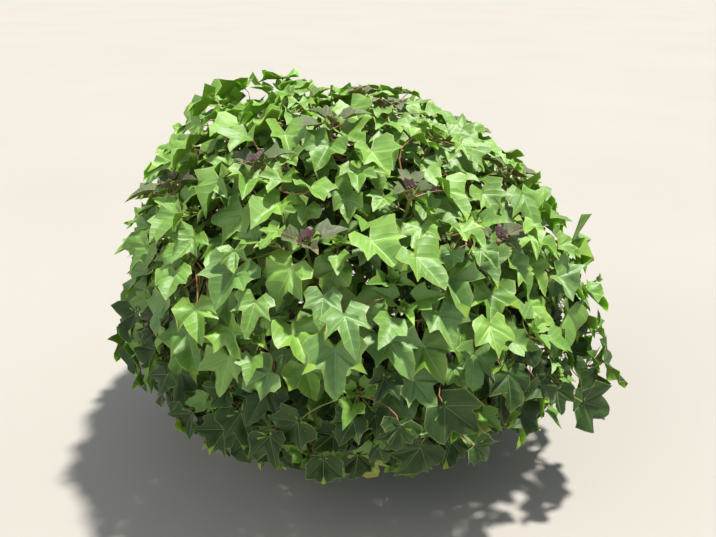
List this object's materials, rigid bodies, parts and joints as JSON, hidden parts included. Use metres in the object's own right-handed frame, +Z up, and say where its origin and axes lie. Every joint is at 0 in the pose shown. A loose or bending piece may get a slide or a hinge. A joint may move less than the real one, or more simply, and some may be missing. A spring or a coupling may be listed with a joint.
{
  "type": "physic nut plant",
  "caption": "Young leafy physic nut shrub, rooted in level ground, with a short hidden stem, spreading boughs and a dense low dome of broad lobed leaves.",
  "frame": {"origin": "centre of the flat cut under the main stem, at ground level", "axes": "+Z up, +Y along the planted row away from the viewer, +X to the viewer's right"},
  "size_m": [1.67, 1.6211, 1.2684],
  "materials": {
    "bark": "smooth thin grey-green bark with papery flakes and leaf scars",
    "young_bark": "smooth green young bark with leaf scars",
    "foliage": "broad smooth lobed leaves, half glossy, with pale veins and rims, on long stalks"
  },
  "bodies": {
    "root": {"main_stem": "bark", "bough_front": "bark", "bough_right": "bark", "bough_back_right": "bark", "bough_back_left": "bark", "bough_left": "bark", "front_left_skirt_branch": "young_bark", "front_right_skirt_branch": "young_bark", "front_shoulder_branch": "young_bark", "right_skirt_branch": "young_bark", "right_shoulder_branch": "young_bark", "right_crest_branch": "young_bark", "back_right_skirt_branch": "young_bark", "back_skirt_branch": "young_bark", "back_right_shoulder_branch": "young_bark", "back_left_skirt_branch": "young_bark", "back_left_shoulder_branch": "young_bark", "back_crest_branch": "young_bark", "left_skirt_branch": "young_bark", "left_shoulder_branch": "young_bark", "left_crest_branch": "young_bark", "front_left_skirt_leaves": "foliage", "front_right_skirt_leaves": "foliage", "front_shoulder_leaves": "foliage", "right_skirt_leaves": "foliage", "right_shoulder_leaves": "foliage", "right_crest_leaves": "foliage", "back_right_skirt_leaves": "foliage", "back_skirt_leaves": "foliage", "back_right_shoulder_leaves": "foliage", "back_left_skirt_leaves": "foliage", "back_left_shoulder_leaves": "foliage", "back_crest_leaves": "foliage", "left_skirt_leaves": "foliage", "left_shoulder_leaves": "foliage", "left_crest_leaves": "foliage"}
  },
  "joints": []
}
